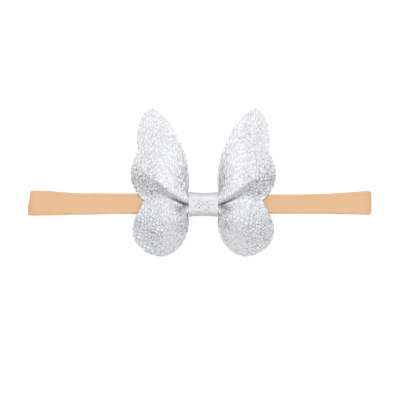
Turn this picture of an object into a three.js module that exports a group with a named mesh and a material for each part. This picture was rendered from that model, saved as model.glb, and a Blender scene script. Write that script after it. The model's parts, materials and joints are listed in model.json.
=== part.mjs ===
// Bow headband: a butterfly-shaped sheet of pebbled silver leather is pinched at its waist,
// and a leather strip is wound round the pinch and round the front run of a soft nylon headband.
// The headband lies folded flat on a table, with the bow on top of it.
// Millimetres, +Z up. The origin is on the table under the middle of the wrap,
// +X runs along the headband and +Y points to the tips of the upper wings.

import * as THREE from "three";

// Thickness of the two materials, and the clearance between pieces that touch
const LEATHER = 1.0;
const NYLON = 1.2;
const CLEARANCE = 0.3;

// Headband: the outsides of its two folds along X, the clear height between its two runs,
// and the slant of the left fold
const FOLD_LEFT = -78.9;
const FOLD_RIGHT = 76.3;
const LOOP_INSIDE = 4.5;
const LEFT_FOLD_SLANT = 0.13;
const SLANT_LENGTH = 20;

// Front run: its width inside the wrap, and the two distances from the middle between which it spreads out
const GATHERED_WIDTH = 6.6;
const GATHER_FROM = 7.5;
const GATHER_TO = 20;

// Width of the nylon along X, and how far its middle lies from the X axis
const BAND = [
  { x: -79, width: 11.3, middle: 0.5 },
  { x: -66, width: 10.5, middle: 0.4 },
  { x: -55, width: 9.1, middle: 0.1 },
  { x: -40, width: 8.8, middle: 0.0 },
  { x: 0, width: 8.6, middle: 0.0 },
  { x: 56, width: 8.7, middle: 0.0 },
  { x: 67, width: 9.9, middle: 0.3 },
  { x: 77, width: 10.4, middle: 0.5 },
];

// Wrap: half its length along X, half its height along Y, and how far its ends flare along Y,
// with the share of that flare by which they rise in front
const WRAP_REACH = 6.6;
const WRAP_HALF_HEIGHT = 5.25;
const WRAP_BACK_CORNER = 2.0;
const WRAP_FRONT_FLARE = 0.2;
const WRAP_STATIONS = [
  { share: 0.0, flare: 0.0 },
  { share: 0.55, flare: 0.05 },
  { share: 0.85, flare: 0.25 },
  { share: 1.0, flare: 0.55 },
];

// Pinched waist of the bow: half its length, the bends of its two ridges and of the valley between them,
// and the heights of the ridges and the valley over the cut edges
const WAIST_REACH = 5.8;
const UPPER_BEND = 1.6;
const VALLEY_BEND = 0.75;
const LOWER_BEND = 1.1;
const RIDGE_RISE = 5.6;
const VALLEY_RISE = 0.7;
const WAIST_HALF_WIDTH = UPPER_BEND + VALLEY_BEND + LOWER_BEND;

// Heights that the pieces stack up to in the middle, from the table
const WRAP_BACK = NYLON + LOOP_INSIDE;
const FRONT_RUN = WRAP_BACK + LEATHER + CLEARANCE;
const CUT_EDGE = FRONT_RUN + NYLON + CLEARANCE;
const RIDGE = CUT_EDGE + RIDGE_RISE;
const VALLEY = CUT_EDGE + VALLEY_RISE;
const WRAP_FRONT = RIDGE + LEATHER / 2 + CLEARANCE + LEATHER;
const WRAP_FRONT_CORNER = LOWER_BEND + LEATHER / 2 + CLEARANCE + LEATHER;

// Right wing in plan: its two inner edges run from the waist to the tip and to the lowest point,
// and scallops close it on its outer side, each ending at a share of the whole outer cut edge
const plan = (x, y) => new THREE.Vector2(x, y);
const TIP = plan(23.4, 43.5);
const TOP_NOTCH = plan(29.2, 23.2);
const SIDE_NOTCH = plan(26.9, 1.6);
const LOBE_SIDE = plan(32.1, -11.5);
const LOWEST = plan(19.0, -23.5);
const SCALLOPS = [
  { from: TIP, leave: plan(28.3, 44.4), arrive: plan(32, 31), to: TOP_NOTCH, end: 0.28, quads: 10 },
  { from: TOP_NOTCH, leave: plan(34.2, 18.2), arrive: plan(34.3, 7.7), to: SIDE_NOTCH, end: 0.6, quads: 12 },
  { from: SIDE_NOTCH, leave: plan(28.4, -1.7), arrive: plan(32.1, -7.5), to: LOBE_SIDE, end: 0.77, quads: 8 },
  { from: LOBE_SIDE, leave: plan(32.1, -18.2), arrive: plan(26.2, -23.5), to: LOWEST, end: 1, quads: 10 },
];
const UPPER_INNER_EDGE = [
  plan(7.4, 4.4),
  plan(7.3, 7.2),
  plan(6.9, 12.0),
  plan(7.4, 18.0),
  plan(10.2, 27.3),
  plan(15.2, 36.4),
  plan(20.6, 41.9),
  TIP,
];
const LOWER_INNER_EDGE = [
  plan(7.4, -4.4),
  plan(7.2, -7.0),
  plan(7.3, -11.0),
  plan(8.4, -15.6),
  plan(11.8, -20.3),
  plan(15.8, -22.9),
  LOWEST,
];

// Folds of a wing, each a line from the waist to the outer cut edge: the shares of the two where it
// starts and ends, and the heights of the leather's middle over the table at distances along it
const FOLD_DISTANCES = [0, 8, 16, 24, 32, 48];
const FOLDS = [
  { name: "upper inner edge", rim: 0.0, waist: 0.0, heights: [8.5, 7.6, 7.6, 6.8, 4.8, 0.3] },
  { name: "upper roll", rim: 0.07, waist: 0.05, heights: [9.8, 9.6, 9.6, 8.3, 5.8, 0.35] },
  { name: "upper wing", rim: 0.17, waist: 0.11, heights: [11.3, 11.4, 11.2, 9.6, 7.4, 2.0] },
  { name: "upper notch", rim: 0.28, waist: 0.18, heights: [13.0, 13.0, 12.5, 11.0, 9.2, 5.0] },
  { name: "upper ridge", rim: 0.38, waist: 0.27, heights: [14.1, 13.9, 13.3, 12.3, 10.9, 8.0] },
  { name: "flank", rim: 0.47, waist: 0.36, heights: [13.4, 12.5, 10.7, 10.1, 9.6, 8.0] },
  { name: "flank foot", rim: 0.53, waist: 0.43, heights: [10.6, 9.2, 8.7, 8.5, 8.4, 8.0] },
  { name: "valley", rim: 0.6, waist: 0.51, heights: [9.2, 8.8, 8.5, 8.2, 8.0, 8.0] },
  { name: "lower ridge", rim: 0.7, waist: 0.71, heights: [13.6, 11.6, 9.6, 8.2, 7.2, 6.0] },
  { name: "lower lobe", rim: 0.82, waist: 0.82, heights: [13.2, 12.0, 9.4, 6.6, 4.2, 3.0] },
  { name: "lower roll", rim: 0.93, waist: 0.93, heights: [10.2, 9.8, 7.6, 4.6, 2.4, 2.0] },
  { name: "lower inner edge", rim: 1.0, waist: 1.0, heights: [8.5, 7.4, 6.2, 3.6, 1.8, 1.8] },
];

// Share of a wing over which the waist's folds open into it, and how fast the pull of a curved
// inner edge dies away from it
const PINCH_SHARE = 0.14;
const EDGE_PULL = 4;

// Rounding of the tight folds: how often each point moves towards the middle of its neighbours and how far,
// and the two distances along X between which this fades out
const ROUNDING_PASSES = 2;
const ROUNDING = 0.5;
const ROUNDING_FROM = 9;
const ROUNDING_TO = 18;

// Fineness of the facets: quads across a wing and half the waist, how much they crowd towards the ends
// of a wing, quads along each run and fold of the headband, and round each corner of the wrap
const WING_QUADS = 18;
const WAIST_QUADS = 2;
const WING_CROWDING = 0.07;
const RUN_QUADS = 25;
const FOLD_QUADS = 8;
const CORNER_QUADS = 6;

// Triangles over a grid of points whose rows and columns both close on themselves
function ringGeometry(rows) {
  const width = rows[0].length;
  const triangles = [];
  rows.forEach((row, i) => {
    const next = (i + 1) % rows.length;
    row.forEach((_, j) => {
      const side = (j + 1) % width;
      const [a, b] = [i * width + j, next * width + j];
      const [c, d] = [next * width + side, i * width + side];
      triangles.push(a, b, c, a, c, d);
    });
  });
  return new THREE.BufferGeometry().setFromPoints(rows.flat()).setIndex(triangles);
}

// Headband: a flat section with round edges is carried round the loop, from the back run to the front run
function headbandGeometry() {
  const rows = new THREE.CubicInterpolant(
    BAND.map((row) => row.x),
    BAND.flatMap((row) => [row.width, row.middle]),
    2,
  );
  const foldRadius = (LOOP_INSIDE + NYLON) / 2;
  const middle = NYLON + LOOP_INSIDE / 2;
  const left = FOLD_LEFT + foldRadius + NYLON / 2;
  const right = FOLD_RIGHT - foldRadius - NYLON / 2;
  const frontRise = FRONT_RUN - NYLON - LOOP_INSIDE;
  const stations = [];
  for (let i = 0; i <= RUN_QUADS; i++) {
    const x = THREE.MathUtils.lerp(left, right, i / RUN_QUADS);
    stations.push({ x, z: NYLON / 2, outX: 0, outZ: -1, gather: 0 });
  }
  for (let i = 1; i < FOLD_QUADS; i++) {
    const turn = Math.PI * (i / FOLD_QUADS - 0.5);
    const [outX, outZ] = [Math.cos(turn), Math.sin(turn)];
    stations.push({ x: right + foldRadius * outX, z: middle + foldRadius * outZ, outX, outZ, gather: 0 });
  }
  for (let i = RUN_QUADS; i >= 0; i--) {
    const x = THREE.MathUtils.lerp(left, right, i / RUN_QUADS);
    const gather = 1 - THREE.MathUtils.smoothstep(Math.abs(x), GATHER_FROM, GATHER_TO);
    const z = middle + foldRadius + frontRise * gather;
    stations.push({ x, z, outX: 0, outZ: 1, gather });
  }
  for (let i = 1; i < FOLD_QUADS; i++) {
    const turn = Math.PI * (i / FOLD_QUADS + 0.5);
    const [outX, outZ] = [Math.cos(turn), Math.sin(turn)];
    stations.push({ x: left + foldRadius * outX, z: middle + foldRadius * outZ, outX, outZ, gather: 0 });
  }
  return ringGeometry(
    stations.map(({ x, z, outX, outZ, gather }) => {
      const [fullWidth, shift] = rows.evaluate(x);
      const width = THREE.MathUtils.lerp(fullWidth, Math.min(fullWidth, GATHERED_WIDTH), gather);
      const slant = LEFT_FOLD_SLANT * THREE.MathUtils.smoothstep(FOLD_LEFT - x, -SLANT_LENGTH, 0);
      return bandSection(width).map(({ x: y, y: out }) => {
        return new THREE.Vector3(x + slant * y + outX * out, y + shift, z + outZ * out);
      });
    }),
  );
}

// Section of the nylon: across the band and out of the loop
function bandSection(width) {
  const edge = NYLON / 2;
  const section = new THREE.Path();
  section.absarc(width / 2 - edge, 0, edge, -Math.PI / 2, Math.PI / 2, false);
  section.absarc(edge - width / 2, 0, edge, Math.PI / 2, 1.5 * Math.PI, false);
  section.closePath();
  return section.getPoints(CORNER_QUADS / 2).slice(0, -1);
}

// Wrap: the outside and the inside of the strip's wall, joined round its cut ends
function wrapGeometry() {
  const mirrored = WRAP_STATIONS.slice(1).reverse().map(({ share, flare }) => ({ share: -share, flare }));
  const stations = [...mirrored, ...WRAP_STATIONS];
  const layer = (inset) =>
    stations.map(({ share, flare }) => {
      return wrapSection(flare, inset).map(({ x: y, y: z }) => new THREE.Vector3(share * WRAP_REACH, y, z));
    });
  return ringGeometry([...layer(LEATHER), ...layer(0).reverse()]);
}

// Section of the wrap across X: a ring with large corners in front and small ones behind
function wrapSection(flare, inset) {
  const half = WRAP_HALF_HEIGHT + flare - inset;
  const front = WRAP_FRONT + WRAP_FRONT_FLARE * flare - inset;
  const back = WRAP_BACK + inset;
  const large = WRAP_FRONT_CORNER - inset;
  const small = WRAP_BACK_CORNER - inset;
  const section = new THREE.Path();
  section.absarc(half - large, front - large, large, 0, Math.PI / 2, false);
  section.absarc(large - half, front - large, large, Math.PI / 2, Math.PI, false);
  section.absarc(small - half, back + small, small, Math.PI, 1.5 * Math.PI, false);
  section.absarc(half - small, back + small, small, 1.5 * Math.PI, 2 * Math.PI, false);
  section.closePath();
  return section.getPoints(CORNER_QUADS).slice(0, -1);
}

// Folded section of the waist, from the upper cut edge to the lower one, across the band and up
function waistSection() {
  const half = WAIST_HALF_WIDTH;
  const valley = half - 2 * UPPER_BEND - VALLEY_BEND;
  const section = new THREE.Path();
  section.moveTo(half, CUT_EDGE);
  section.lineTo(half, RIDGE - UPPER_BEND);
  section.absarc(half - UPPER_BEND, RIDGE - UPPER_BEND, UPPER_BEND, 0, Math.PI, false);
  section.absarc(valley, VALLEY + VALLEY_BEND, VALLEY_BEND, 0, -Math.PI, true);
  section.absarc(LOWER_BEND - half, RIDGE - LOWER_BEND, LOWER_BEND, 0, Math.PI, false);
  section.lineTo(-half, CUT_EDGE);
  return section;
}

// Outer cut edge of the right wing, as a function of the share along it
function rimCurve() {
  const curves = SCALLOPS.map(({ from, leave, arrive, to }) => {
    return new THREE.CubicBezierCurve(from, leave, arrive, to);
  });
  return (share) => {
    const i = SCALLOPS.findIndex((scallop) => share <= scallop.end);
    const start = i > 0 ? SCALLOPS[i - 1].end : 0;
    return curves[i].getPointAt((share - start) / (SCALLOPS[i].end - start));
  };
}

// Smooth curves through the folds: where a row leaves the waist,
// and the leather's height at a distance from it
function foldCurves(rim) {
  const turn = (share) => -Math.atan2(rim(share).y, rim(share).x - WAIST_REACH);
  const waist = new THREE.CubicInterpolant(
    FOLDS.map((fold) => fold.rim),
    FOLDS.map((fold) => fold.waist),
    1,
  );
  const heights = new THREE.CubicInterpolant(
    FOLDS.map((fold) => turn(fold.rim)),
    FOLDS.flatMap((fold) => fold.heights),
    FOLD_DISTANCES.length,
  );
  return {
    waistShare: (share) => waist.evaluate(share)[0],
    height: (share, distance) => {
      const along = [...heights.evaluate(turn(share))];
      return new THREE.CubicInterpolant(FOLD_DISTANCES, along, 1).evaluate(distance)[0];
    },
  };
}

// Middle surface of the right half: columns from the waist to the rim,
// each from the upper inner edge to the lower one
function wingColumns(shares) {
  const waist = waistSection();
  const rim = rimCurve();
  const folds = foldCurves(rim);
  const upper = new THREE.SplineCurve([plan(WAIST_REACH, WAIST_HALF_WIDTH), ...UPPER_INNER_EDGE]);
  const lower = new THREE.SplineCurve([plan(WAIST_REACH, -WAIST_HALF_WIDTH), ...LOWER_INNER_EDGE]);
  const roots = shares.map((share) => waist.getPoint(folds.waistShare(share)));
  const columns = [];
  for (let i = 0; i < WAIST_QUADS; i++) {
    columns.push(roots.map(({ x: y, y: z }) => new THREE.Vector3((WAIST_REACH * i) / WAIST_QUADS, y, z)));
  }
  for (let i = 0; i <= WING_QUADS; i++) {
    const out = i / WING_QUADS - WING_CROWDING * Math.sin((2 * Math.PI * i) / WING_QUADS);
    const bow = (edge) => edge.getPointAt(out).sub(edge.getPoint(0).lerp(edge.getPoint(1), out));
    const [upperBow, lowerBow] = [bow(upper), bow(lower)];
    const opened = THREE.MathUtils.smoothstep(out, 0, PINCH_SHARE);
    columns.push(
      shares.map((share, row) => {
        const root = roots[row];
        const place = plan(WAIST_REACH, root.x).lerp(rim(share), out);
        place.addScaledVector(upperBow, Math.pow(1 - share, EDGE_PULL));
        place.addScaledVector(lowerBow, Math.pow(share, EDGE_PULL));
        const distance = Math.hypot(place.x - WAIST_REACH, place.y);
        const height = THREE.MathUtils.lerp(root.y, folds.height(share, distance), opened);
        return new THREE.Vector3(place.x, place.y, height);
      }),
    );
  }
  return columns;
}

// Rows of the leather as shares of the outer cut edge, with one on each notch
function leatherRows() {
  const rows = [0];
  SCALLOPS.forEach(({ end, quads }) => {
    const start = rows.at(-1);
    for (let i = 1; i <= quads; i++) {
      rows.push(THREE.MathUtils.lerp(start, end, i / quads));
    }
  });
  return rows;
}

// Rounds the folds near the waist, so that leather of this thickness can bend through them
function roundFolds(columns) {
  return columns.map((column) => {
    const fade = column.map(({ x }) => THREE.MathUtils.smoothstep(x, ROUNDING_FROM, ROUNDING_TO));
    let places = column;
    for (let pass = 0; pass < ROUNDING_PASSES; pass++) {
      places = places.map((place, row) => {
        if (row === 0 || row === places.length - 1) {
          return place;
        }
        const between = places[row - 1].clone().lerp(places[row + 1], 0.5);
        return place.clone().lerp(between, ROUNDING * (1 - fade[row]));
      });
    }
    return places;
  });
}

// Bow: the middle surface from rim to rim through the waist, thickened both ways along its normals
function bowGeometry() {
  const right = roundFolds(wingColumns(leatherRows()));
  const left = right.slice(1).map((column) => column.map(({ x, y, z }) => new THREE.Vector3(-x, y, z)));
  return sheetGeometry([...left.reverse(), ...right], LEATHER);
}

// Closed wall of a given thickness around a sheet given as columns of points
function sheetGeometry(columns, thickness) {
  const height = columns[0].length;
  const last = { column: columns.length - 1, row: height - 1 };
  const at = (i, j) => {
    const column = columns[THREE.MathUtils.clamp(i, 0, last.column)];
    return column[THREE.MathUtils.clamp(j, 0, last.row)];
  };
  const side = (sign) =>
    columns.flatMap((column, i) =>
      column.map((place, j) => {
        const across = at(i + 1, j).clone().sub(at(i - 1, j));
        const along = at(i, j - 1).clone().sub(at(i, j + 1));
        const normal = across.cross(along).normalize();
        return place.clone().addScaledVector(normal, (sign * thickness) / 2);
      }),
    );
  const front = (i, j) => i * height + j;
  const back = (i, j) => columns.length * height + i * height + j;
  const triangles = [];
  const quad = (a, b, c, d) => triangles.push(a, b, c, a, c, d);
  for (let i = 0; i < last.column; i++) {
    for (let j = 0; j < last.row; j++) {
      quad(front(i, j), front(i, j + 1), front(i + 1, j + 1), front(i + 1, j));
      quad(back(i, j), back(i + 1, j), back(i + 1, j + 1), back(i, j + 1));
    }
    quad(front(i, 0), front(i + 1, 0), back(i + 1, 0), back(i, 0));
    quad(front(i + 1, last.row), front(i, last.row), back(i, last.row), back(i + 1, last.row));
  }
  for (let j = 0; j < last.row; j++) {
    quad(front(0, j + 1), front(0, j), back(0, j), back(0, j + 1));
    const i = last.column;
    quad(front(i, j), front(i, j + 1), back(i, j + 1), back(i, j));
  }
  return new THREE.BufferGeometry().setFromPoints([...side(1), ...side(-1)]).setIndex(triangles);
}

function piece(name, geometry, material) {
  geometry.computeVertexNormals();
  const mesh = new THREE.Mesh(geometry, material);
  mesh.name = name;
  return mesh;
}

const silverLeather = new THREE.MeshStandardMaterial({ color: "#d9dade", roughness: 0.42, metalness: 0.6 });
const peachNylon = new THREE.MeshStandardMaterial({ color: "#ebbf98", roughness: 0.85, metalness: 0 });

const bowHeadband = new THREE.Group();
bowHeadband.add(piece("headband", headbandGeometry(), peachNylon));
bowHeadband.add(piece("bow_wings", bowGeometry(), silverLeather));
bowHeadband.add(piece("centre_wrap", wrapGeometry(), silverLeather));

export default bowHeadband;
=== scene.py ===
# %% [markdown]
# # A butterfly bow on a soft headband
#
# The real thing is a loop of peach nylon knit that lies folded flat on a table. A butterfly cut
# from pebbled silver leather is pinched in the middle, and a strip of the same leather is wound
# round the pinch and the front of the loop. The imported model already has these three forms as
# plain solids, so this lesson takes copies of them and gives each one its grain, folds and finish.

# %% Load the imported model
import json
import math

import bpy
import numpy as np
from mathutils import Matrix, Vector, noise

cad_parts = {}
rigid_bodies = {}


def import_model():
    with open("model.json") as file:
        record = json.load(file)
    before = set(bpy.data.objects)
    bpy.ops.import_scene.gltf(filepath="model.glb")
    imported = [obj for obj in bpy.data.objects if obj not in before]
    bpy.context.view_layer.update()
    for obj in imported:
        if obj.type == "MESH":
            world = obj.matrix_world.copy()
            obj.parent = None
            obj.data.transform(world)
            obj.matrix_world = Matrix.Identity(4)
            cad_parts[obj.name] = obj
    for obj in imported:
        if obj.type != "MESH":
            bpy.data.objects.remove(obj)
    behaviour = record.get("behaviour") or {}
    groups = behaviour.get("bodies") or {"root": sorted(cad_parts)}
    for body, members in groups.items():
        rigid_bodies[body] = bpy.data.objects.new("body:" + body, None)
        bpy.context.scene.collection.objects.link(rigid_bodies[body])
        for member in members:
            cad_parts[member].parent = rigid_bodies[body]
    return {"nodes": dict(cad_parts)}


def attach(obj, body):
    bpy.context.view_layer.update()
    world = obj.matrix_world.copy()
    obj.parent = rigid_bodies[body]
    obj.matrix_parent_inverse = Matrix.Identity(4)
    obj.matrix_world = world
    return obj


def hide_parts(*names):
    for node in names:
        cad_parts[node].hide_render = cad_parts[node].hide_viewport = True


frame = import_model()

MM = 0.001
scene = bpy.context.scene
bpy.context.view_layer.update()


# %% [markdown]
# ## The camera
#
# The photograph was taken from straight above, as flat goods are often shown. A camera could stand
# close with a wide lens, but then the tall knot would look too big, so it stands a metre away with
# a long lens. The lens follows from how wide a piece of table the picture shows.

# %% Hang the camera over the table
PICTURE_WIDTH = 181.6 * MM
PICTURE_MIDDLE = (-1.5 * MM, 1.9 * MM)
BOW_LEVEL = 8 * MM
CAMERA_DISTANCE = 1.0
SENSOR_WIDTH = 36

camera_place = (*PICTURE_MIDDLE, BOW_LEVEL + CAMERA_DISTANCE)
bpy.ops.object.select_all(action="DESELECT")
bpy.ops.object.camera_add(location=camera_place, rotation=(0, 0, 0))
camera = bpy.context.object
camera.data.sensor_width = SENSOR_WIDTH
camera.data.lens = SENSOR_WIDTH * CAMERA_DISTANCE / PICTURE_WIDTH
scene.camera = camera
print("lens in mm:", round(camera.data.lens, 1))

# %% [markdown]
# ## Light
#
# The upper wings are bright and every flank that falls towards the lower edge is grey, so the main
# light leans towards the picture's upper edge. A sun lamp would throw hard shadows, so it is a small
# soft box, an area light. A white sky fills the shadows from all sides.

# %% Set up the soft box
LIGHT_LEAN = math.radians(22)
LIGHT_DISTANCE = 0.9
LIGHT_SIZE = 0.22
LIGHT_POWER = 3.5

light_place = (0, LIGHT_DISTANCE * math.sin(LIGHT_LEAN), LIGHT_DISTANCE * math.cos(LIGHT_LEAN))
bpy.ops.object.light_add(type="AREA", location=light_place, rotation=(-LIGHT_LEAN, 0, 0))
soft_box = bpy.context.object
soft_box.name = "soft_box"
soft_box.data.size = LIGHT_SIZE
soft_box.data.energy = LIGHT_POWER
print("soft box stands at", [round(part, 2) for part in light_place])

# %% Fill the shadows
WHITE = (1, 1, 1, 1)
FILL = 0.63

sky = bpy.data.worlds.new("pale_sky")
sky.use_nodes = True
background = sky.node_tree.nodes["Background"]
background.inputs["Color"].default_value = WHITE
background.inputs["Strength"].default_value = FILL
scene.world = sky
scene.view_settings.view_transform = "Standard"
print("fill strength:", FILL)

# %% [markdown]
# ## The table
#
# The headband lies on a wide white card, which is no part of the object. It lies a hair under the
# loop, because two faces in the same plane would flicker.

# %% Lay the table
TABLE_SIZE = 4
TABLE_DROP = 0.2 * MM

bpy.ops.object.select_all(action="DESELECT")
bpy.ops.mesh.primitive_plane_add(size=TABLE_SIZE, location=(0, 0, -TABLE_DROP))
table = bpy.context.object
table.name = "table"
bpy.ops.object.transform_apply(location=True)
print("table is", TABLE_SIZE, "m wide")

# %% [markdown]
# ## Helpers for nodes
#
# Every finish here is a tree of nodes. One short helper adds a node, sets its options and either
# fills or links each of its sockets, so that the trees below read from top to bottom. The others
# mix two colours, work out a value, and start a new material.

# %% Node helpers
def add(tree, kind, sockets=None, **options):
    node = tree.nodes.new(kind)
    for name, value in options.items():
        setattr(node, name, value)
    for key, value in (sockets or {}).items():
        if isinstance(value, bpy.types.NodeSocket):
            tree.links.new(value, node.inputs[key])
        else:
            node.inputs[key].default_value = value
    return node


def tint(tree, share, first, second):
    mix = add(tree, "ShaderNodeMix", {0: share, 6: first, 7: second}, data_type="RGBA")
    return mix.outputs[2]


def calc(tree, operation, *values):
    return add(tree, "ShaderNodeMath", dict(enumerate(values)), operation=operation).outputs[0]


def new_material(name):
    material = bpy.data.materials.new(name)
    material.use_nodes = True
    return material, material.node_tree, material.node_tree.nodes["Principled BSDF"]


print("node helpers are ready")

# %% [markdown]
# ## The table's finish
#
# The table is a plain pale card. A little noise keeps it from being a single flat colour. Studio
# pictures burn such a card out to a clean white, so the camera alone sees it glow, and the light that
# it sends back to the bow stays that of the pale card.

# %% White card
CARD_DARK = (0.66, 0.66, 0.66, 1)
CARD_LIGHT = (0.70, 0.70, 0.70, 1)
CARD_FIBRES = 900.0
CARD_GLOW = 0.75
CARD_ROUGHNESS = 0.9

card, tree, shader = new_material("white_card")
place = add(tree, "ShaderNodeTexCoord").outputs["Object"]
fibres = add(tree, "ShaderNodeTexNoise", {"Vector": place, "Scale": CARD_FIBRES, "Detail": 3.0})
paper = tint(tree, fibres.outputs["Fac"], CARD_DARK, CARD_LIGHT)
tree.links.new(paper, shader.inputs["Base Color"])
shader.inputs["Roughness"].default_value = CARD_ROUGHNESS
shader.inputs["Emission Color"].default_value = WHITE
seen = add(tree, "ShaderNodeLightPath").outputs["Is Camera Ray"]
tree.links.new(calc(tree, "MULTIPLY", seen, CARD_GLOW), shader.inputs["Emission Strength"])
table.data.materials.append(card)
print("table finish:", card.name)

# %% [markdown]
# ## Pebbled grain
#
# Pressed leather shows pebbles about a millimetre across with narrow grooves between them. The
# grain could be a picture, but cells from a Voronoi texture give the same pebbles in any size. The
# nodes are written once as functions, because the same cells are used twice: to press the pebbles
# into the mesh, and as a shader group that darkens the grooves and adds what is too fine to model.

# %% Helpers for the grain
def vector_math(tree, operation, first, second):
    key = "Scale" if operation == "SCALE" else 1
    return add(tree, "ShaderNodeVectorMath", {0: first, key: second}, operation=operation).outputs


def span(tree, value, low, high):
    sockets = {"Value": value, "From Min": low, "From Max": high}
    return add(tree, "ShaderNodeMapRange", sockets, interpolation_type="SMOOTHSTEP").outputs["Result"]


def blend(tree, share, first, second):
    return add(tree, "ShaderNodeMix", {0: share, 2: first, 3: second}, data_type="FLOAT").outputs[0]


def rest(tree, value):
    return calc(tree, "SUBTRACT", 1.0, value)


print("grain helpers are ready")

# %% [markdown]
# ### One layer of pebbles
#
# Each cell of the texture is one pebble. Its distance to the cell's edge makes a round dome, and a
# random slope tilts the dome's top, because no two pebbles lean the same way. A second value tells
# the pebble's top from the narrow groove round it.

# %% Domes and tops of one layer
DOME_REACH = 0.55
DOME_CURVE = 0.7
GROOVE_WIDTH = 0.14
MIDDLE = (0.5, 0.5, 0.5)


def one_layer(tree, place, per_metre):
    sockets = {"Vector": place, "Scale": per_metre, "Randomness": 1.0}
    edge = add(tree, "ShaderNodeTexVoronoi", sockets, feature="DISTANCE_TO_EDGE").outputs["Distance"]
    dome = calc(tree, "POWER", span(tree, edge, 0.0, DOME_REACH), DOME_CURVE)
    nearest = add(tree, "ShaderNodeTexVoronoi", sockets, feature="F1").outputs
    lean = vector_math(tree, "SUBTRACT", nearest["Color"], MIDDLE)[0]
    across = vector_math(tree, "SUBTRACT", place, nearest["Position"])[0]
    across = vector_math(tree, "SCALE", across, per_metre)[0]
    slope = vector_math(tree, "DOT_PRODUCT", across, lean)["Value"]
    tilted = calc(tree, "MULTIPLY", dome, calc(tree, "ADD", slope, 1.0))
    return tilted, span(tree, edge, 0.0, GROOVE_WIDTH)


print("grooves reach", GROOVE_WIDTH, "of a cell in from its edge")

# %% [markdown]
# ### Large and small pebbles together
#
# Near the knot the leather is pulled lengthwise, so its pebbles are long there and round further
# out. Small pebbles crease the large ones, a swirl bends their rows, and a noise lets some grooves
# nearly close, as they do where a hide is firm.

# %% Stirred and layered pebbles
SWIRL = 1.0 * MM
SWIRLS = 420.0
ROUND = (1.12, 0.88, 1.0)
LONG = (1.35, 0.45, 0.7)
PULLED_UP_TO = 20 * MM
PULLED_FULLY = 12 * MM
SMALLER = 1.9
SMALL_CREASE = 0.15
UNEVEN = 700.0
UNEVEN_SPAN = (0.44, 0.62)
GROOVE_LEFT = 0.3


def stirred(tree, place):
    swirl = add(tree, "ShaderNodeTexNoise", {"Vector": place, "Scale": SWIRLS, "Detail": 1.0})
    shift = vector_math(tree, "SUBTRACT", swirl.outputs["Color"], MIDDLE)[0]
    return vector_math(tree, "ADD", place, vector_math(tree, "SCALE", shift, SWIRL)[0])[0]


def large_pebbles(tree, place, pulled, per_metre):
    round_ones = one_layer(tree, vector_math(tree, "MULTIPLY", place, ROUND)[0], per_metre)
    long_ones = one_layer(tree, vector_math(tree, "MULTIPLY", place, LONG)[0], per_metre)
    return [blend(tree, pulled, first, second) for first, second in zip(round_ones, long_ones)]


def creased(tree, whole, part):
    crease = calc(tree, "MULTIPLY", rest(tree, part), SMALL_CREASE)
    return calc(tree, "MULTIPLY", whole, rest(tree, crease))


def pebble_nodes(tree, place, per_metre):
    sideways = add(tree, "ShaderNodeSeparateXYZ", {0: place}).outputs[0]
    pulled = span(tree, calc(tree, "ABSOLUTE", sideways), PULLED_UP_TO, PULLED_FULLY)
    place = stirred(tree, place)
    large = large_pebbles(tree, place, pulled, per_metre)
    small = one_layer(tree, place, calc(tree, "MULTIPLY", per_metre, SMALLER))
    dome, top = [creased(tree, whole, part) for whole, part in zip(large, small)]
    uneven = add(tree, "ShaderNodeTexNoise", {"Vector": place, "Scale": UNEVEN, "Detail": 1.0})
    deep = span(tree, uneven.outputs["Fac"], *UNEVEN_SPAN)
    deep = calc(tree, "MULTIPLY_ADD", deep, 1.0 - GROOVE_LEFT, GROOVE_LEFT)
    return dome, rest(tree, calc(tree, "MULTIPLY", rest(tree, top), deep))


print("pebbles are long up to", round(PULLED_FULLY / MM), "mm from the middle")

# %% Pebble group
PEBBLES = 640.0


def socket(group, name, kind, way, value=None):
    made = group.interface.new_socket(name, in_out=way, socket_type=kind)
    if value is not None:
        made.default_value = value


pebble_group = bpy.data.node_groups.new("pebbled grain", "ShaderNodeTree")
socket(pebble_group, "Pebbles per metre", "NodeSocketFloat", "INPUT", PEBBLES)
socket(pebble_group, "Height", "NodeSocketFloat", "OUTPUT")
socket(pebble_group, "Top", "NodeSocketFloat", "OUTPUT")
given = add(pebble_group, "NodeGroupInput")
place = add(pebble_group, "ShaderNodeTexCoord").outputs["Object"]
dome, top = pebble_nodes(pebble_group, place, given.outputs[0])
add(pebble_group, "NodeGroupOutput", {0: dome, 1: top})
print("pebble group nodes:", len(pebble_group.nodes))

# %% [markdown]
# ## Fine knit
#
# The loop and the cloth on the leather's back are both fine knits: rows of tiny stitches. Two
# crossed waves give rows and stitches, which are far too small to model, so this is a group that
# only feeds a bump and a slight change of colour. The wave texture counts twenty radians to a unit
# of scale, so the number of rows is turned into its scale first.

# %% Knit group
KNIT_ROWS = 1500.0
WAVE_SCALE = 2 * math.pi / 20
ROW_WOBBLE = 0.6
STITCH_WOBBLE = 1.5
STITCH_SHARE = 0.4
BLOTCHES = 130.0


def wave(tree, place, scale, wobble, direction):
    sockets = {"Vector": place, "Scale": scale, "Distortion": wobble}
    return add(tree, "ShaderNodeTexWave", sockets, bands_direction=direction).outputs["Fac"]


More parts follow.
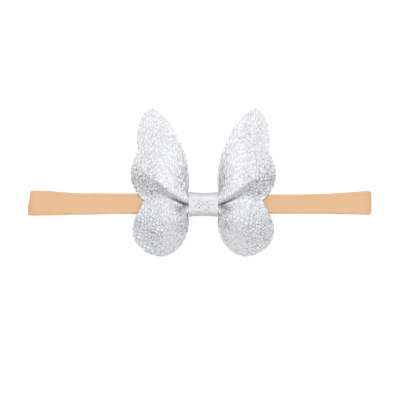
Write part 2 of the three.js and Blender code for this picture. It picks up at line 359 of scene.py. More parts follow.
knit_group = bpy.data.node_groups.new("fine knit", "ShaderNodeTree")
socket(knit_group, "Rows per metre", "NodeSocketFloat", "INPUT", KNIT_ROWS)
socket(knit_group, "Height", "NodeSocketFloat", "OUTPUT")
socket(knit_group, "Blotch", "NodeSocketFloat", "OUTPUT")
given = add(knit_group, "NodeGroupInput")
place = add(knit_group, "ShaderNodeTexCoord").outputs["Object"]
pitch = calc(knit_group, "MULTIPLY", given.outputs[0], WAVE_SCALE)
rows = wave(knit_group, place, pitch, ROW_WOBBLE, "Y")
stitches = wave(knit_group, place, pitch, STITCH_WOBBLE, "X")
height = calc(knit_group, "MULTIPLY_ADD", stitches, STITCH_SHARE, rows)
blotch = add(knit_group, "ShaderNodeTexNoise", {"Vector": place, "Scale": BLOTCHES, "Detail": 3.0})
add(knit_group, "NodeGroupOutput", {0: height, 1: blotch.outputs["Fac"]})
print("knit group nodes:", len(knit_group.nodes))

# %% [markdown]
# ## Silver coat
#
# The face of the leather is a thin silver coat: satin, not mirror bright, because the grain breaks
# the shine up. A pearly coat also shows soft patches of lavender, mint and sky blue. They could be
# painted by hand, but a broad noise through a colour ramp places them without any seam.

# %% Pearly patches
PEARL = [
    {"at": 0.30, "colour": (0.85, 0.92, 0.96)},
    {"at": 0.45, "colour": (0.92, 0.92, 0.93)},
    {"at": 0.58, "colour": (0.92, 0.90, 0.96)},
    {"at": 0.72, "colour": (0.88, 0.94, 0.92)},
]
PATCHES = 150.0


def pearl_patches(tree, place, brightness):
    broad = add(tree, "ShaderNodeTexNoise", {"Vector": place, "Scale": PATCHES, "Detail": 2.0})
    bands = add(tree, "ShaderNodeValToRGB", {"Fac": broad.outputs["Fac"]})
    stops = bands.color_ramp.elements
    while len(stops) < len(PEARL):
        stops.new(1.0)
    for stop, row in zip(stops, PEARL):
        stop.position = row["at"]
        stop.color = (*[brightness * part for part in row["colour"]], 1)
    return bands.outputs["Color"]


print("pearl tints:", len(PEARL))

# %% [markdown]
# ## Pinholes
#
# Where such leather is pulled over a form, its coat opens in tiny dark pinholes. A cell texture
# gives one dot to a cell, the cell's own random colour decides whether the dot shows, and a value
# painted on the mesh says where dots are allowed at all.

# %% Pinholes in the coat
DEEP_GREY = (0.16, 0.16, 0.18, 1)
PINHOLES = 850.0
PINHOLE_EDGE = (0.46, 0.30)
PINHOLE_CHANCE = 0.6


def painted(tree, name):
    return add(tree, "ShaderNodeAttribute", attribute_name=name).outputs["Fac"]


def pinholes(tree, place):
    cells = add(tree, "ShaderNodeTexVoronoi", {"Vector": place, "Scale": PINHOLES}, feature="F1").outputs
    hole = span(tree, cells["Distance"], *PINHOLE_EDGE)
    draw = add(tree, "ShaderNodeSeparateXYZ", {0: cells["Color"]}).outputs[0]
    chosen = calc(tree, "MULTIPLY", hole, calc(tree, "LESS_THAN", draw, PINHOLE_CHANCE))
    return calc(tree, "MULTIPLY", chosen, painted(tree, "pinholes"))


print("pinhole cells to a centimetre:", PINHOLES / 100)

# %% [markdown]
# ## Silver leather
#
# One recipe makes both leathers. The grooves are darker and duller than the pebbles, most of all
# where the mesh says that the grain is open, which on the bulges and flanks is partly painted shade.
# The insides of folds and the strip's turned edges are greyed as painted shade. The strip has been
# pulled tight, so its pebbles are wider and much shallower than those of the bow.

# %% The leather recipe
# Painted shade: the grey that the insides of folds and the strip's turned edges are tinted towards.
PAINTED_SHADE_GREY = (0.22, 0.22, 0.24, 1)
GROOVE_DULLER = 0.15
PORES = 5200.0
PORE_SHARE = 0.10


def relief(tree, shader, height, strength, depth):
    bump = add(tree, "ShaderNodeBump", {"Height": height, "Strength": strength, "Distance": depth})
    tree.links.new(bump.outputs["Normal"], shader.inputs["Normal"])


def coat_colour(tree, place, top, brightness, groove):
    # Where the grain is open the grooves turn dark grey: partly grain, partly painted shade on flanks that
    # turn from the light.
    groove = tint(tree, painted(tree, "open_grain_and_shade"), groove, DEEP_GREY)
    coat = tint(tree, top, groove, pearl_patches(tree, place, brightness))
    coat = tint(tree, pinholes(tree, place), coat, DEEP_GREY)
    # Painted shade: the coat is greyed where the mesh marks the insides of folds and the strip's turned
    # edges.
    return tint(tree, painted(tree, "painted_shade"), coat, PAINTED_SHADE_GREY)


def silver_leather(name, per_metre, brightness, groove, depth, dullness, metal):
    material, tree, shader = new_material(name)
    place = add(tree, "ShaderNodeTexCoord").outputs["Object"]
    grain = add(tree, "ShaderNodeGroup", {"Pebbles per metre": per_metre}, node_tree=pebble_group)
    top = grain.outputs["Top"]
    colour = coat_colour(tree, place, top, brightness, groove)
    tree.links.new(colour, shader.inputs["Base Color"])
    dull_span = {"Value": top, "To Min": dullness + GROOVE_DULLER, "To Max": dullness}
    dull_and_shaded = add(tree, "ShaderNodeMapRange", dull_span)
    tree.links.new(dull_and_shaded.outputs["Result"], shader.inputs["Roughness"])
    shader.inputs["Metallic"].default_value = metal
    pores = add(tree, "ShaderNodeTexNoise", {"Vector": place, "Scale": PORES, "Detail": 3.0})
    height = calc(tree, "MULTIPLY_ADD", pores.outputs["Fac"], PORE_SHARE, grain.outputs["Height"])
    relief(tree, shader, height, 1.0, depth)
    return material


print("pores to a millimetre:", round(PORES * MM, 1))

# %% Two leathers from one recipe
STRIP_PEBBLES = 560.0

bow_silver = silver_leather(
    "bow_silver", per_metre=PEBBLES, brightness=0.92, groove=(0.66, 0.66, 0.69, 1),
    depth=0.18 * MM, dullness=0.45, metal=0.2,
)
strip_silver = silver_leather(
    "strip_silver", per_metre=STRIP_PEBBLES, brightness=0.87, groove=(0.72, 0.72, 0.74, 1),
    depth=0.03 * MM, dullness=0.7, metal=0.15,
)
print("leathers:", bow_silver.name, strip_silver.name)

# %% [markdown]
# ## The leather's back and cut edge
#
# Behind the silver coat is a thin knitted cloth, and the cut edge shows its pale core. Both are
# seen only from below or very close, but a plain finish there would look like plastic.

# %% Backing cloth and cut edge
STITCH_TINT = 0.3
BLOTCH_TINT = 0.6
KNIT_STRENGTH = 0.6


def cloth(name, low, high, rows_per_metre, depth, roughness):
    material, tree, shader = new_material(name)
    knit = add(tree, "ShaderNodeGroup", {"Rows per metre": rows_per_metre}, node_tree=knit_group)
    blotch = calc(tree, "MULTIPLY", knit.outputs["Blotch"], BLOTCH_TINT)
    share = calc(tree, "MULTIPLY_ADD", knit.outputs["Height"], STITCH_TINT, blotch)
    tree.links.new(tint(tree, share, low, high), shader.inputs["Base Color"])
    shader.inputs["Roughness"].default_value = roughness
    relief(tree, shader, knit.outputs["Height"], KNIT_STRENGTH, depth)
    return material


backing = cloth(
    "backing_cloth", low=(0.56, 0.55, 0.55, 1), high=(0.68, 0.67, 0.66, 1),
    rows_per_metre=1600.0, depth=0.08 * MM, roughness=0.9,
)
core = cloth(
    "cut_edge", low=(0.58, 0.58, 0.60, 1), high=(0.72, 0.72, 0.74, 1),
    rows_per_metre=4000.0, depth=0.04 * MM, roughness=0.8,
)
print("hidden finishes:", backing.name, core.name)

# %% [markdown]
# ## Nylon
#
# The loop is a dense, matt knit in peach. Nylon has a soft bloom at its edges where the fibres
# stand up, which the shader's sheen gives, and its colour is a little uneven.

# %% Peach nylon
nylon = cloth(
    "peach_nylon", low=(0.785, 0.476, 0.272, 1), high=(0.835, 0.537, 0.317, 1),
    rows_per_metre=KNIT_ROWS, depth=0.07 * MM, roughness=0.85,
)
shader = nylon.node_tree.nodes["Principled BSDF"]
shader.inputs["Sheen Weight"].default_value = 0.25
shader.inputs["Sheen Roughness"].default_value = 0.5
shader.inputs["Sheen Tint"].default_value = (1.0, 0.85, 0.75, 1)
print("loop finish:", nylon.name)

# %% [markdown]
# ## Working copies of the solids
#
# Each piece starts as a copy of its solid, so that it lies exactly where the solid is. The copy is
# loose triangles, so it is welded and its triangles are paired into the quads that smooth well.

# %% Copy, weld and pair
WELD = 0.001 * MM


def pick(piece):
    bpy.ops.object.select_all(action="DESELECT")
    piece.select_set(True)
    bpy.context.view_layer.objects.active = piece


def working_copy(node, name):
    piece = bpy.data.objects.new(name, frame["nodes"][node].data.copy())
    scene.collection.objects.link(piece)
    piece.data.materials.clear()
    pick(piece)
    bpy.ops.mesh.customdata_custom_splitnormals_clear()
    bpy.ops.object.mode_set(mode="EDIT")
    bpy.ops.mesh.select_all(action="SELECT")
    bpy.ops.mesh.remove_doubles(threshold=WELD)
    bpy.ops.mesh.tris_convert_to_quads(face_threshold=math.pi, shape_threshold=math.pi)
    bpy.ops.object.mode_set(mode="OBJECT")
    quads = sum(len(face.vertices) == 4 for face in piece.data.polygons)
    print(name, "quads:", quads, "of", len(piece.data.polygons))
    return piece


bow = working_copy("bow_wings", "butterfly_bow")
strip = working_copy("centre_wrap", "centre_strip")
band = working_copy("headband", "nylon_band")

# %% [markdown]
# ## Face, back and edge of the leather
#
# A leather sheet has a silver face, a cloth back and a thin cut edge all round. The cut edge meets
# both sides at a right angle, so its two border lines are found as the sharp edges. They are marked
# and creased, which keeps them crisp when the sheet is smoothed, and then each side is filled in
# from one of its faces up to those lines.

# %% Fill one side of a sheet
EDGE_SLOT, FACE_SLOT, BACK_SLOT = range(3)


def fill_from(piece, seed, slot):
    flags = np.zeros(len(piece.data.polygons), bool)
    flags[seed] = True
    bpy.ops.object.mode_set(mode="EDIT")
    bpy.ops.mesh.select_mode(type="FACE")
    bpy.ops.mesh.select_all(action="DESELECT")
    bpy.ops.object.mode_set(mode="OBJECT")
    piece.data.polygons.foreach_set("select", flags)
    bpy.ops.object.mode_set(mode="EDIT")
    bpy.ops.mesh.select_linked(delimit={"SHARP"})
    piece.active_material_index = slot
    bpy.ops.object.material_slot_assign()
    bpy.ops.object.mode_set(mode="OBJECT")


print("slots for edge, face and back:", EDGE_SLOT, FACE_SLOT, BACK_SLOT)

# %% Sort the faces of both sheets
RIM_ANGLE = math.radians(68)


def sort_sheet(piece, face_finish, face_seed, back_seed):
    for finish in (core, face_finish, backing):
        piece.data.materials.append(finish)
    pick(piece)
    bpy.ops.object.mode_set(mode="EDIT")
    bpy.ops.mesh.select_mode(type="EDGE")
    bpy.ops.mesh.select_all(action="DESELECT")
    bpy.ops.mesh.edges_select_sharp(sharpness=RIM_ANGLE)
    bpy.ops.mesh.mark_sharp()
    bpy.ops.transform.edge_crease(value=1.0)
    bpy.ops.object.mode_set(mode="OBJECT")
    fill_from(piece, face_seed, FACE_SLOT)
    fill_from(piece, back_seed, BACK_SLOT)
    slots = [face.material_index for face in piece.data.polygons]
    print(piece.name, "edge, face, back:", [slots.count(number) for number in range(3)])


def extreme_face(piece, score):
    return max(piece.data.polygons, key=score).index


def highest_face(face):
    return face.center.z + face.normal.z * MM


def under_wing_tip(face):
    return face.center.y - face.normal.z


def inside_the_ring(face):
    return face.center.z - face.normal.z


sort_sheet(bow, bow_silver, extreme_face(bow, highest_face), extreme_face(bow, under_wing_tip))
sort_sheet(strip, strip_silver, extreme_face(strip, highest_face), extreme_face(strip, inside_the_ring))

# %% [markdown]
# ## Smooth the sheets
#
# One level of subdivision rounds the folds of the whole sheet. The pebbles need a finer mesh than
# the back does, so only the silver face is divided again. Its points go into a vertex group, without
# those of the cut edge, and that group later says where pebbles are pressed.

# %% Smooth and divide
ROUNDING = 1
FACE_CUTS = 2


def round_off(piece):
    pick(piece)
    rounding = piece.modifiers.new("rounding", "SUBSURF")
    rounding.levels = ROUNDING
    rounding.render_levels = ROUNDING
    bpy.ops.object.modifier_apply(modifier=rounding.name)


def select_slot(piece, slot):
    bpy.ops.mesh.select_mode(type="FACE")
    bpy.ops.mesh.select_all(action="DESELECT")
    piece.active_material_index = slot
    bpy.ops.object.material_slot_select()


def divide_face(piece):
    bpy.ops.object.mode_set(mode="EDIT")
    select_slot(piece, FACE_SLOT)
    bpy.ops.mesh.subdivide(number_cuts=FACE_CUTS)
    piece.vertex_groups.active_index = piece.vertex_groups.new(name="face").index
    bpy.ops.object.vertex_group_assign()
    select_slot(piece, EDGE_SLOT)
    bpy.ops.object.vertex_group_remove_from()
    bpy.ops.object.mode_set(mode="OBJECT")


def triangles(piece):
    return sum(len(face.vertices) - 2 for face in piece.data.polygons)


for sheet in (bow, strip):
    round_off(sheet)
    divide_face(sheet)
    print(sheet.name, "triangles:", triangles(sheet))

# %% [markdown]
# ## Let the cut edge out
#
# Smoothing draws a sheet's outline in a little, but leather that is cut with a knife keeps its full
# outline. The points of the cut edge are moved sideways by a fifth of a millimetre, and not at all
# beside the strip, where the sheet is held.

# %% Move the cut edge
EDGE_OUT = 0.22 * MM
HELD_UP_TO = 5 * MM
FREE_FROM = 8 * MM
LEAST_LENGTH = 1e-6


def ramp(value, start, end):
    share = np.clip((value - start) / (end - start), 0, 1)
    return share * share * (3 - 2 * share)


def places_of(piece):
    return np.array([vertex.co for vertex in piece.data.vertices])


def normals_of(piece):
    return np.array([vertex.normal for vertex in piece.data.vertices])


def move_to(piece, places):
    piece.data.vertices.foreach_set("co", places.ravel())
    piece.data.update()


places = places_of(bow)
sideways = normals_of(bow) * (1, 1, 0)
sideways /= np.maximum(np.linalg.norm(sideways, axis=1), LEAST_LENGTH)[:, None]
on_edge = np.zeros(len(places))
for face in bow.data.polygons:
    if face.material_index == EDGE_SLOT:
        on_edge[list(face.vertices)] = 1
shift = EDGE_OUT * on_edge * ramp(np.abs(places[:, 1]), HELD_UP_TO, FREE_FROM)
move_to(bow, places + sideways * shift[:, None])
print("points moved on the cut edge:", np.count_nonzero(shift))

# %% [markdown]
# ## Crisp folds beside the knot
#
# The solid has the broad folds. On the real bow the upper wing ends in a crisp brow that drops
# steeply into a dark crease, small gathers fan out below the crease, and the edges hang or roll down.
# A sculpting brush could do this by hand. Here each point is moved by where it lies in plan, front
# and back alike, so that the two sides of the sheet stay together. In the next cells, out is the
# distance from the middle line and up the distance towards the picture's upper edge, in millimetres,
# and the two wings are folded alike. First the points slide along the sheet: each row of the table
# says where the crease and the brow lie on the solid, and where they go.

# %% Slide the fold lines into place
FOLD_LINES = [
    {"out": 7.4, "crease": (-0.4, -0.3), "brow": (0.8, 0.6)},
    {"out": 9.0, "crease": (0.0, 0.4), "brow": (1.5, 1.25)},
    {"out": 10.2, "crease": (0.25, 0.9), "brow": (2.0, 2.0)},
    {"out": 12.0, "crease": (0.7, 1.7), "brow": (3.0, 3.3)},
    {"out": 14.0, "crease": (1.1, 2.5), "brow": (4.2, 4.7)},
    {"out": 17.0, "crease": (1.6, 3.3), "brow": (6.0, 7.1)},
    {"out": 20.0, "crease": (2.0, 3.9), "brow": (8.5, 9.6)},
    {"out": 24.0, "crease": (2.5, 3.4), "brow": (10.7, 11.9)},
    {"out": 28.0, "crease": (3.5, 3.5), "brow": (13.0, 14.0)},
    {"out": 33.0, "crease": (4.0, 4.0), "brow": (16.0, 16.0)},
]
BEFORE, AFTER = range(2)
FOLD_REACH = 4.5

bow_places = places_of(bow) / MM
out = np.abs(bow_places[:, 0])
solid_up = bow_places[:, 1].copy()
stations = [row["out"] for row in FOLD_LINES]


def fold_line(name, when):
    return np.interp(out, stations, [row[name][when] for row in FOLD_LINES])


crease_line = fold_line("crease", AFTER)
brow_line = fold_line("brow", AFTER)
foot = fold_line("crease", BEFORE) - FOLD_REACH
head = fold_line("brow", BEFORE) + FOLD_REACH
old_lines = [foot, fold_line("crease", BEFORE), fold_line("brow", BEFORE), head]
new_lines = [foot, crease_line, brow_line, head]
up = solid_up.copy()
for old_low, old_high, new_low, new_high in zip(old_lines, old_lines[1:], new_lines, new_lines[1:]):
    inside = (solid_up >= old_low) & (solid_up < old_high) & (out > stations[0])
    share = (solid_up - old_low) / (old_high - old_low)
    up = np.where(inside, new_low + share * (new_high - new_low), up)
print("longest slide in mm:", round(np.abs(up - solid_up).max(), 2))

# %% [markdown]
# ### Crease and valley
#
# The crease is a narrow bell-shaped groove, deepest beside the strip. Further out it opens into a
# wide, shallow valley. Both are added up as one drop for each point.

# %% Crease and valley
CREASE_DEPTH = 1.5
CREASE_WIDTH = (0.5, 0.38)
CREASE_STARTS = (7.2, 8.6)
CREASE_NARROWS = (8, 13)
CREASE_EASES = (9, 14)
CREASE_EASE = 0.6
CREASE_ENDS = (15, 21)
VALLEY_DEPTH = 0.45
VALLEY_WIDTH = 1.8
VALLEY_STARTS = (12, 17)
VALLEY_ENDS = (26, 30)


def bell(distance, width):
    return np.exp(-(distance / width) ** 2)


near_strip = ramp(out, *CREASE_STARTS)
crease_width = CREASE_WIDTH[0] + (CREASE_WIDTH[1] - CREASE_WIDTH[0]) * ramp(out, *CREASE_NARROWS)
crease = bell(up - crease_line, crease_width)
eased = (1 - CREASE_EASE * ramp(out, *CREASE_EASES)) * (1 - ramp(out, *CREASE_ENDS))
drop = CREASE_DEPTH * crease * near_strip * eased
valley = bell(up - crease_line, VALLEY_WIDTH)
drop += VALLEY_DEPTH * valley * ramp(out, *VALLEY_STARTS) * (1 - ramp(out, *VALLEY_ENDS))
print("deepest drop in mm:", round(drop.max(), 2))

# %% [markdown]
# ### Brow and bulge
#
# The brow is a roof: a long slope behind it and a short, steep front. Towards the side of the wing
# the roof turns into a soft round one, and the bulge below it sinks.

# %% Brow and bulge
BROW_LIFT = 1.4
BROW_BACK = 7.0
BROW_FRONT = 2.6
BROW_STARTS = (9, 15)
BROW_SOFTENS = (19, 29)
BULGE_DROP = 0.7
BULGE_UNDER_BROW = (1, 10)
BULGE_OVER_CREASE = (-1, 3)

over_brow = up - brow_line
softness = ramp(out, *BROW_SOFTENS)
back_slope = np.clip(1 - over_brow / BROW_BACK, 0, 1) ** 2
front_slope = 1 - ramp(-over_brow, 0, BROW_FRONT)
crisp_roof = np.where(over_brow > 0, back_slope, front_slope)
roof = crisp_roof * (1 - softness) + bell(over_brow, BROW_BACK) * softness
drop -= BROW_LIFT * roof * ramp(out, *BROW_STARTS)
sunk = ramp(-over_brow, *BULGE_UNDER_BROW) * ramp(up, *BULGE_OVER_CREASE)
drop += BULGE_DROP * softness * sunk
print("highest lift in mm:", round(-drop.min(), 2))

# %% [markdown]
# ### Gathers
#
# Below the crease the leather is bunched into small grooves that fan out from one point under the
# strip. Each gather is a ray from that point with an angle and a depth. How deep a fold lies is kept
# as a painted shade as well, which the finish uses to grey the inside of the fold.

# %% Gathers that fan out from the pinch
PINCH = (6.2, -0.5)
GATHERS = [
    {"angle": -8, "depth": 0.7},
    {"angle": -21, "depth": 0.8},
    {"angle": -34, "depth": 0.6},
    {"angle": -48, "depth": 0.4},
]
GATHER_WIDTH = 0.38
GATHER_STARTS = (0.6, 2.5)
GATHER_ENDS = (4.5, 9.5)
FACING_OUT = 1.6
CREASE_SHADE = 0.7
SHADE_ENDS = (10, 19)

reach = np.hypot(out - PINCH[0], up - PINCH[1])
turn = np.arctan2(up - PINCH[1], out - PINCH[0])
bunched = near_strip * ramp(reach, *GATHER_STARTS) * (1 - ramp(reach, *GATHER_ENDS))
bunched *= np.abs(turn) < FACING_OUT
shade = CREASE_SHADE * crease ** 2 * near_strip * (1 - ramp(out, *SHADE_ENDS))
for row in GATHERS:
    beside = reach * np.sin(turn - math.radians(row["angle"]))
    groove = row["depth"] * bell(beside, GATHER_WIDTH) * bunched
    drop += groove
    shade = np.maximum(shade, groove)
print("gathers on each wing:", len(GATHERS))

# %% [markdown]
# ### Shoulders and corners
#
# The strip squeezes the sheet, and just below the squeeze the lower lobes spring up again. A wide
# shoulder lifts each lobe, and a small lift takes the sheet at the strip's lower corner out of the
# strip's shadow.

# %% Lift the lobes beside the strip
SHOULDER = {"middle": (7.6, -8.3), "reach": (1.5, 3.0)}
SHOULDER_LIFT = 2.0
SHOULDER_BESIDE = (6.7, 7.5)
SHOULDER_BELOW = (4.8, 7.5)
CORNER = {"middle": (7.1, -5.3), "reach": (0.9, 1.5)}
CORNER_LIFT = 2.2
CORNER_STARTS = (6.3, 7.0)


def spot(across, upwards, middle, reach):
    aside = (across - middle[0]) / reach[0]
    above = (upwards - middle[1]) / reach[1]
    return np.exp(-aside ** 2 - above ** 2)


clear_of_strip = np.maximum(ramp(out, *SHOULDER_BESIDE), ramp(-up, *SHOULDER_BELOW))
drop -= SHOULDER_LIFT * spot(out, up, **SHOULDER) * clear_of_strip
drop -= CORNER_LIFT * spot(out, up, **CORNER) * ramp(out, *CORNER_STARTS)
print("highest lift in mm:", round(-drop.min(), 2))

# %% [markdown]
# ### Rolled and hanging edges
#
# Free edges of soft leather give way. The outer edges of the wings and lobes roll down, and the
# inner edges of the upper wings hang a little, which shows as a soft grey margin.

# %% Roll the outer edges and hang the inner ones
OUTER_ROLL = [
    {"out": (24.5, 32.0), "up": (5.5, 23.0), "depth": 2.0},
    {"out": (22.0, 31.0), "up": (-23.0, -5.5), "depth": 1.4},
]
ROLL_LIMIT = 1.2
ROLL_STARTS_OVER = 4
ROLL_ENDS_OVER = 5
INNER_EDGE = {"up": [4.4, 7.2, 12.0, 18.0, 27.3], "out": [7.4, 7.3, 6.9, 7.4, 10.2]}
HANG = 0.7
HANG_WIDTH = 2.4
HANG_STARTS = (5, 8)
HANG_ENDS = (20, 28)

for row in OUTER_ROLL:
    start, end = row["out"]
    first, last = row["up"]
    beyond = np.clip((out - start) / (end - start), 0, ROLL_LIMIT)
    rolled = ramp(up, first, first + ROLL_STARTS_OVER) * (1 - ramp(up, last - ROLL_ENDS_OVER, last))
    drop += row["depth"] * beyond ** 2 * rolled
from_inner_edge = out - np.interp(up, INNER_EDGE["up"], INNER_EDGE["out"])
hang = np.clip(1 - from_inner_edge / HANG_WIDTH, 0, 1) ** 2
drop += HANG * hang * ramp(up, *HANG_STARTS) * (1 - ramp(up, *HANG_ENDS))
print("deepest drop in mm:", round(drop.max(), 2))

# %% [markdown]
# ### Move the sheet
#
# All the drops are now taken off the heights at once. Over the band the sheet must not sink into
# the nylon, so a point there stops at the band's top, or stays where it was if that is lower. The
# face stops half a millimetre above the back, so that the sheet keeps a wall.

# %% Move every point of the bow
BAND_TOP = {"out": [10, 14, 17, 24], "height": [8.3, 7.8, 7.45, 7.25]}
BAND_REACH = 5.8
LEAST_WALL = 0.5

face_group = bow.vertex_groups["face"]
owners = [[item.group for item in vertex.groups] for vertex in bow.data.vertices]
front = np.array([face_group.index in groups for groups in owners])
lowest = np.interp(out, BAND_TOP["out"], BAND_TOP["height"]) + LEAST_WALL * front
lowest = np.where(np.abs(up) < BAND_REACH, lowest, 0)
heights = bow_places[:, 2]
new_heights = np.maximum(heights - drop, np.minimum(heights, lowest))
move_to(bow, np.column_stack([bow_places[:, 0], up, new_heights]) * MM)
print("face points:", np.count_nonzero(front), "of", len(front))

# %% [markdown]
# ## Open and closed grain, and painted shade
#
# Bent and stretched leather opens its grain: the grooves gape and look dark on the bulges, while the
# middle of each wing stays tight and smooth. The dark grooves on the bulge, the lower lobes, the inner
# edges and the flank below the brow also stand in for the shade of surfaces that turn from the light,
# so they are partly painted shade. A weight painter would brush this on. Here a short list of soft
# spots adds it up, and the result is stored on the mesh for the finish to read.

# %% Paint the grain of the bow
GRAIN_OPEN = 0.25
# Spots where the grooves darken, partly as painted shade on the bulge, lobes, inner edges and flank;
# negative spots lighten.
OPEN_AND_SHADED_SPOTS = [
    {"middle": (28, 11), "reach": (8, 9), "more": 0.8},
    {"middle": (25, -12), "reach": (8, 9), "more": 0.6},
    {"middle": (9, 13), "reach": (3.5, 9), "more": 0.6},
    {"middle": (19, 31), "reach": (5, 4), "more": 0.2},
    {"middle": (20, 5), "reach": (6, 3), "more": 0.4},
    {"middle": (15, 16), "reach": (6, 10), "more": -0.25},
    {"middle": (9, -11), "reach": (3, 7), "more": 0.5},
    {"middle": (15, -15), "reach": (4, 6), "more": -0.2},
]
BOW_PINHOLES = 0.35
PINHOLES_WHERE_OPEN = (0.3, 1.0)


def paint(piece, name, values):
    attribute = piece.data.attributes.new(name, "FLOAT", "POINT")
    attribute.data.foreach_set("value", values.astype(np.float32))


open_and_shaded = np.full(len(out), GRAIN_OPEN)
for row in OPEN_AND_SHADED_SPOTS:
    open_and_shaded += row["more"] * spot(out, up, row["middle"], row["reach"])
# The depth of creases and gathers is stored as painted shade, which greys the coat inside the folds.
paint(bow, "painted_shade", shade * front)
paint(bow, "open_grain_and_shade", np.clip(open_and_shaded, 0, 1))
paint(bow, "pinholes", BOW_PINHOLES * ramp(open_and_shaded, *PINHOLES_WHERE_OPEN))
print("grain is open from", round(open_and_shaded.min(), 2), "to", round(open_and_shaded.max(), 2))

# %% [markdown]
# ## How deep the pebbles go
#
# The pebbles are pressed with a weight for each point. They are shallow near the pinch, where the
# leather is pulled flat, and where the grain is closed. They fade out under the strip and at the
# outer notch, where the sheet bends so sharply that pebbles would touch each other.

# %% Weigh the pebbles
FLAT_DEPTH = 0.35
FLAT_UP_TO = (4, 9)
UNDER_STRIP = (6.6, 7.4)
CLOSED_DEPTH = 0.72
CLOSED_TO_OPEN = (0.1, 0.7)
NOTCH = {"middle": (27.6, 2.0), "reach": (1.6, 1.8)}

weight = FLAT_DEPTH + (1 - FLAT_DEPTH) * ramp(reach, *FLAT_UP_TO)
weight *= ramp(out, *UNDER_STRIP)
weight *= CLOSED_DEPTH + (1 - CLOSED_DEPTH) * ramp(open_and_shaded, *CLOSED_TO_OPEN)
weight *= 1 - spot(out, up, **NOTCH)
for index in np.flatnonzero(front & (weight < 1)):
    face_group.add([int(index)], float(weight[index]), "REPLACE")
print("mean weight of the face:", round(weight[front].mean(), 2))

# %% [markdown]
# ## Specks and painted shade on the strip
#
# The strip is stretched smooth round the knot. Pinholes show round its middle, and where it turns
# down over the upper and lower side its colour is greyed as painted shade. All three are painted on
# its mesh.

# %% Paint the strip
SPECKS = {"middle": (-0.5, -0.8), "reach": (4.6, 2.4)}
MOST_SPECKS = 0.75
SPECK_GRAIN = 0.3
# Painted shade: how much the strip's colour is greyed towards its upper and lower edges, where it turns
# down.
SHADED_EDGES = [
    {"from": 3.0, "to": 4.8, "most": 0.28},
    {"from": -2.6, "to": -4.2, "most": 0.12},
]

strip_places = places_of(strip) / MM
strip_up = strip_places[:, 1]
specks = MOST_SPECKS * spot(strip_places[:, 0], strip_up, **SPECKS)
dull_and_shaded = [row["most"] * ramp(strip_up, row["from"], row["to"]) for row in SHADED_EDGES]
paint(strip, "pinholes", specks)
paint(strip, "open_grain_and_shade", SPECK_GRAIN * specks)
paint(strip, "painted_shade", sum(dull_and_shaded))
print("strip runs from", round(strip_up.min(), 1), "to", round(strip_up.max(), 1), "mm")

# %% [markdown]
# ## Press the pebbles
#
# Bump alone would leave the outline and the shadows of the grain flat. A geometry node modifier
# lifts each point of the face along its normal, with the same cells that the shader uses, and is
# applied. The sheet is then shaded smooth, except at its cut edge.

# %% Press and apply
BOW_RELIEF = 0.66 * MM
STRIP_RELIEF = 0.06 * MM
RESTING_LEVEL = 0.6


def press_pebbles(piece, per_metre, depth):
    tree = bpy.data.node_groups.new("press pebbles", "GeometryNodeTree")
    socket(tree, "Sheet", "NodeSocketGeometry", "INPUT")
    socket(tree, "Sheet", "NodeSocketGeometry", "OUTPUT")
    given = add(tree, "NodeGroupInput")
    place = add(tree, "GeometryNodeInputPosition").outputs[0]
    outward = add(tree, "GeometryNodeInputNormal").outputs[0]
    face = add(tree, "GeometryNodeInputNamedAttribute", {"Name": "face"}, data_type="FLOAT").outputs[0]
    dome, _ = pebble_nodes(tree, place, per_metre)
    lift = calc(tree, "MULTIPLY", calc(tree, "SUBTRACT", dome, RESTING_LEVEL), depth)
    lift = calc(tree, "MULTIPLY", lift, face)
    offset = vector_math(tree, "SCALE", outward, lift)[0]
    moved = add(tree, "GeometryNodeSetPosition", {"Geometry": given.outputs[0], "Offset": offset})
    add(tree, "NodeGroupOutput", {0: moved.outputs[0]})
    pick(piece)
    modifier = piece.modifiers.new("pebbles", "NODES")
    modifier.node_group = tree
    bpy.ops.object.modifier_apply(modifier=modifier.name)
    bpy.ops.object.shade_smooth_by_angle(angle=RIM_ANGLE)


press_pebbles(bow, PEBBLES, BOW_RELIEF)
press_pebbles(strip, STRIP_PEBBLES, STRIP_RELIEF)
print("pebbles pressed into", bow.name, "and", strip.name)

# %% [markdown]
# ## The nylon loop
#
# A flat knitted loop is never quite even: its edges roll a little, its runs wander, and at the left
# end a narrow hem line leaves the lower edge. The solid has only one face across each run, so its
# edges are divided first, across the runs and along them. Then its points are moved in code, as a
# sculptor's brush would.

# %% Divide the runs
ACROSS_CUTS = 19
ALONG_CUTS = 2
LONG_EDGE = 3 * MM
LEVEL_EDGE = 1 * MM


def divide(piece, chosen, cuts):
    bpy.ops.object.mode_set(mode="EDIT")
    bpy.ops.mesh.select_mode(type="EDGE")
    bpy.ops.mesh.select_all(action="DESELECT")
    bpy.ops.object.mode_set(mode="OBJECT")
    mesh = piece.data
    ends = [[mesh.vertices[number].co for number in edge.vertices] for edge in mesh.edges]
    mesh.edges.foreach_set("select", [chosen(*pair) for pair in ends])
    bpy.ops.object.mode_set(mode="EDIT")
    bpy.ops.mesh.subdivide(number_cuts=cuts)
    bpy.ops.object.mode_set(mode="OBJECT")


def runs_across(first, second):
    return abs(first.y - second.y) > LONG_EDGE


def runs_along(first, second):
    return abs(first.x - second.x) > LONG_EDGE and abs(first.y - second.y) < LEVEL_EDGE


outline = places_of(band)
pick(band)
divide(band, runs_across, ACROSS_CUTS)
divide(band, runs_along, ALONG_CUTS)
round_off(band)
print("loop triangles:", triangles(band))

# %% [markdown]
# ### Where each point lies across the run
#
# The moves depend on how far a point is from the run's edges. The solid's own outline gives the
# lower and upper edge at stations along the loop, and the edges are read between them.

# %% Find the edges of the run
STATION = 2.5 * MM

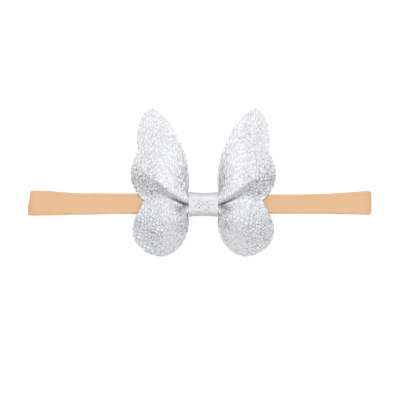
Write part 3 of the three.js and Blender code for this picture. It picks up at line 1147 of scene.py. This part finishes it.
numbers = np.round(outline[:, 0] / STATION)
station_numbers = np.unique(numbers)
low_edge = [outline[numbers == number, 1].min() for number in station_numbers]
high_edge = [outline[numbers == number, 1].max() for number in station_numbers]
band_places = places_of(band)
band_normals = normals_of(band)
x, y, z = band_places.T
lower = np.interp(x, station_numbers * STATION, low_edge)
upper = np.interp(x, station_numbers * STATION, high_edge)
down = np.clip((upper - y) / (upper - lower), 0, 1)
print("run is", round((upper - lower).min() / MM, 1), "to", round((upper - lower).max() / MM, 1), "mm wide")

# %% [markdown]
# ### Rolled edges and a wandering run
#
# Knit curls at its edges, which shows as a low ridge just inside them. Soft cloth also never lies
# straight, so a slow noise moves the run a little, mostly sideways. The noise draws its own offsets
# anew in each session, so it is given a seed, and the run wanders the same way every time.

# %% Roll the edges and let the run wander
ROLL_HEIGHT = 0.16 * MM
ROLL_INSET = 0.75 * MM
ROLL_WIDTH = 0.495 * MM
WANDER = np.array([0.048, 0.16, 0.08]) * MM
WANDER_PITCH = np.array([70, 35, 200])
WANDER_SEED = 1

from_edge = np.minimum(y - lower, upper - y)
roll = ROLL_HEIGHT * bell(from_edge - ROLL_INSET, ROLL_WIDTH) * np.abs(band_normals[:, 2])
moved = band_places + band_normals * roll[:, None]
noise.seed_set(WANDER_SEED)
drift = np.array([noise.noise_vector(Vector(place)) for place in band_places * WANDER_PITCH])
moved += drift * WANDER
print("highest ridge in mm:", round(roll.max() / MM, 2))

# %% [markdown]
# ### The hem line
#
# Near the left end the front run shows a thin line that climbs from the lower edge, where the knit
# is doubled. It is a narrow groove in the mesh, on the front run only.

# %% Press the hem line
HEM_DEPTH = 0.32 * MM
HEM_WIDTH = 0.22 * MM
HEM_HEIGHT = 1.15 * MM
HEM_FROM = -56 * MM
HEM_FULL = -68 * MM
HEM_STARTS = (0, 0.3)
FRONT_LEVEL = 3.45 * MM

near_end = np.clip((x - HEM_FROM) / (HEM_FULL - HEM_FROM), 0, 1)
hem_line = lower + HEM_HEIGHT * near_end
groove = HEM_DEPTH * bell(y - hem_line, HEM_WIDTH) * ramp(near_end, *HEM_STARTS) * (z > FRONT_LEVEL)
moved -= band_normals * groove[:, None]
print("deepest hem in mm:", round(groove.max() / MM, 2))

# %% [markdown]
# ### Width and ends of the loop
#
# The run is a little wider in some places than in others, so its upper and lower edges are let out
# by a short table, with the points between them in proportion. The ends are stretched out slightly,
# their corners are rounded, and the left fold is slanted and hollow.

# %% Let the edges out
SIDE_EDGES = [
    {"x": -78, "top": 0.25, "foot": 0.15},
    {"x": -63, "top": 0.15, "foot": 0.22},
    {"x": -50, "top": 0.60, "foot": 0.30},
    {"x": -40, "top": 0.47, "foot": 0.06},
    {"x": 40, "top": 0.43, "foot": 0.15},
    {"x": 60, "top": 0.37, "foot": 0.00},
    {"x": 66, "top": 0.28, "foot": 0.05},
    {"x": 76, "top": 0.50, "foot": 0.15},
]
BESIDE_BOW = (24 * MM, 34 * MM)


def side_edge(name):
    return np.interp(x / MM, [row["x"] for row in SIDE_EDGES], [row[name] for row in SIDE_EDGES]) * MM


wider = (side_edge("top") * (1 - down) - side_edge("foot") * down) * ramp(np.abs(x), *BESIDE_BOW)
moved[:, 1] += wider
print("edges let out by up to", round(np.abs(wider).max() / MM, 2), "mm")

# %% Shape the ends
STRETCH = 0.007
STRETCHED = (30 * MM, 70 * MM)
END_OUT = 0.65 * MM
END_HOLLOW = 0.2 * MM
CORNER_ROUND = 0.5 * MM
CORNER_SHARE = 0.06
END_STARTS = (72 * MM, 77 * MM)

moved[:, 0] += x * STRETCH * ramp(np.abs(x), *STRETCHED)
corners = bell(down, CORNER_SHARE) + bell(1 - down, CORNER_SHARE)
left_fold = (END_HOLLOW * np.sin(math.pi * down) - END_OUT * (1 - down)) * (x < 0)
inwards = left_fold + CORNER_ROUND * corners
moved[:, 0] -= np.sign(x) * inwards * ramp(np.abs(x), *END_STARTS)
moved[:, 2] = np.maximum(moved[:, 2], 0)
move_to(band, moved)
band.data.materials.append(nylon)
pick(band)
bpy.ops.object.shade_smooth()
print("largest move in mm:", round(np.linalg.norm(moved - band_places, axis=1).max() / MM, 2))

# %% [markdown]
# ## Tie the pieces to the model
#
# Each piece stands for its solid and rides on the one body.

# %% Ride and replace
for piece, node, finish in (
    (bow, "bow_wings", "bow_leather"),
    (strip, "centre_wrap", "wrap_leather"),
    (band, "headband", "nylon"),
):
    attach(piece, "root")
    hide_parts(node)

print("sheets on the root body:", bow.name, strip.name, band.name)
